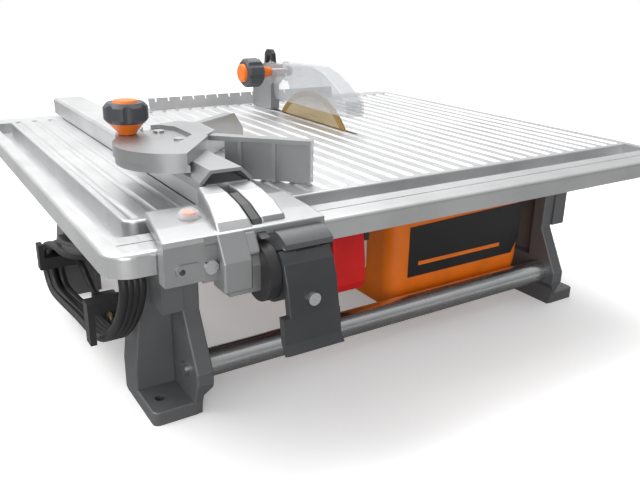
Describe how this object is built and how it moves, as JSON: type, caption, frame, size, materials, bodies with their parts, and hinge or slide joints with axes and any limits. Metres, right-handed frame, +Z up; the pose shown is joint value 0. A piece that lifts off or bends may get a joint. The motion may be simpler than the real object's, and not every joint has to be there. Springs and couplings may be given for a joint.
{
  "type": "wet tile saw",
  "caption": "Bench-top wet tile saw: ribbed alloy table on cast legs, guarded diamond blade, fence with sliding mitre block, lift-off water tub.",
  "frame": {"origin": "middle of the four foot bolt holes, on the plane the feet stand on", "axes": "+X right along the front edge, +Y to the back, +Z up"},
  "size_m": [0.584, 0.5505, 0.2535],
  "materials": {
    "table_alloy": "bare casting, machined on top",
    "grey_casting": "fine sand-cast satin",
    "dark_casting": "dark grey coated casting",
    "zinc_tube": "bright zinc plate",
    "fastener_steel": "zinc plated",
    "machine_steel": "turned steel",
    "blade_steel": "ground steel with a bronze-bonded edge",
    "tub_orange": "satin moulded",
    "badge_black": "plain plate",
    "black_plastic": "moulded, fine texture",
    "lever_plastic": "moulded, satin",
    "knob_grey": "moulded, satin",
    "knob_orange": "moulded, satin",
    "switch_red": "glossy moulded",
    "indicator_grey": "moulded",
    "guard_clear": "frosted polycarbonate",
    "lens_clear": "clear moulded",
    "winding": "laminations with copper winding",
    "cord_rubber": "flexible, semi-matt"
  },
  "bodies": {
    "stand": {"table": "table_alloy", "splash_lip": "table_alloy", "lip_screws": "fastener_steel", "stand_left": "dark_casting", "stand_right": "dark_casting", "front_tube": "zinc_tube", "tube_bolts": "fastener_steel", "table_bolts": "fastener_steel", "motor_housing": "dark_casting", "motor_end_cap": "black_plastic", "motor_stator": "winding", "bearings": "machine_steel", "shaft_seal": "black_plastic", "riving_knife": "machine_steel", "knife_holder": "grey_casting", "knife_screws": "fastener_steel", "guard_bracket": "grey_casting", "guard_catch": "black_plastic", "switch_box": "black_plastic", "paddle_pin": "fastener_steel", "switch_indicator": "indicator_grey", "tub_guides": "grey_casting", "cord_hook_upper": "black_plastic", "cord_hook_lower": "black_plastic", "cord_hank": "cord_rubber", "strain_relief": "cord_rubber", "cord_lead": "cord_rubber", "power_plug": "cord_rubber"},
    "blade_unit": {"spindle": "machine_steel", "rotor": "winding", "cooling_fan": "black_plastic", "flange_inner": "machine_steel", "saw_blade": "blade_steel", "flange_outer": "machine_steel", "arbor_nut": "fastener_steel"},
    "guard": {"guard_shell": "guard_clear"},
    "guard_knob": {"guard_bolt": "fastener_steel", "guard_knob_neck": "knob_orange", "guard_knob_cap": "knob_grey", "guard_knob_insert": "knob_orange"},
    "fence": {"fence_beam": "table_alloy", "fence_head": "grey_casting", "lever_hood": "lever_plastic", "lever_pin": "fastener_steel", "head_screw": "fastener_steel", "friction_disc": "black_plastic", "cursor_lens": "lens_clear"},
    "fence_lever": {"clamp_lever": "lever_plastic", "lever_screw": "fastener_steel"},
    "mitre": {"mitre_saddle": "grey_casting", "mitre_guide": "grey_casting", "mitre_screws": "fastener_steel"},
    "mitre_knob": {"mitre_clamp_stud": "fastener_steel", "mitre_knob_neck": "knob_orange", "mitre_knob_cap": "knob_grey", "mitre_knob_insert": "knob_orange"},
    "paddle": {"switch_paddle": "switch_red"},
    "tub": {"water_tub": "tub_orange", "tub_badge": "badge_black"},
    "plug": {"drain_plug": "black_plastic"}
  },
  "joints": [
    {"name": "blade_spin", "type": "hinge", "parent": "stand", "child": "blade_unit", "pos_m": [0, 0.057, 0.1257], "axis": [1, 0, 0], "continuous": true},
    {"name": "guard_lift", "type": "hinge", "parent": "stand", "child": "guard", "pos_m": [0.04, 0.135, 0.229], "axis": [-1, 0, 0], "range_deg": [0, 50]},
    {"name": "guard_knob_turn", "type": "hinge", "parent": "stand", "child": "guard_knob", "pos_m": [0.04, 0.135, 0.229], "axis": [1, 0, 0], "range_deg": [-180, 180]},
    {"name": "fence_slide", "type": "slide", "parent": "stand", "child": "fence", "axis": [1, 0, 0], "range_m": [-0.02, 0.035]},
    {"name": "lever_swing", "type": "hinge", "parent": "fence", "child": "fence_lever", "pos_m": [-0.184, -0.262, 0.153], "axis": [-1, 0, 0], "range_deg": [0, 42]},
    {"name": "mitre_slide", "type": "slide", "parent": "fence", "child": "mitre", "axis": [0, 1, 0], "range_m": [0, 0.19]},
    {"name": "mitre_knob_turn", "type": "hinge", "parent": "mitre", "child": "mitre_knob", "pos_m": [-0.227, -0.1002, 0.215], "axis": [0, 0, 1], "range_deg": [-180, 180]},
    {"name": "paddle_press", "type": "hinge", "parent": "stand", "child": "paddle", "pos_m": [-0.065, -0.1715, 0.124], "axis": [1, 0, 0], "range_deg": [0, 3.5], "stiffness_Nm_per_rad": 0.05},
    {"name": "tub_drop", "type": "slide", "parent": "stand", "child": "tub", "axis": [0, 0, -1], "range_m": [0, 0.025]},
    {"name": "plug_pull", "type": "slide", "parent": "tub", "child": "plug", "axis": [0, 1, 0], "range_m": [0, 0.015]}
  ]
}
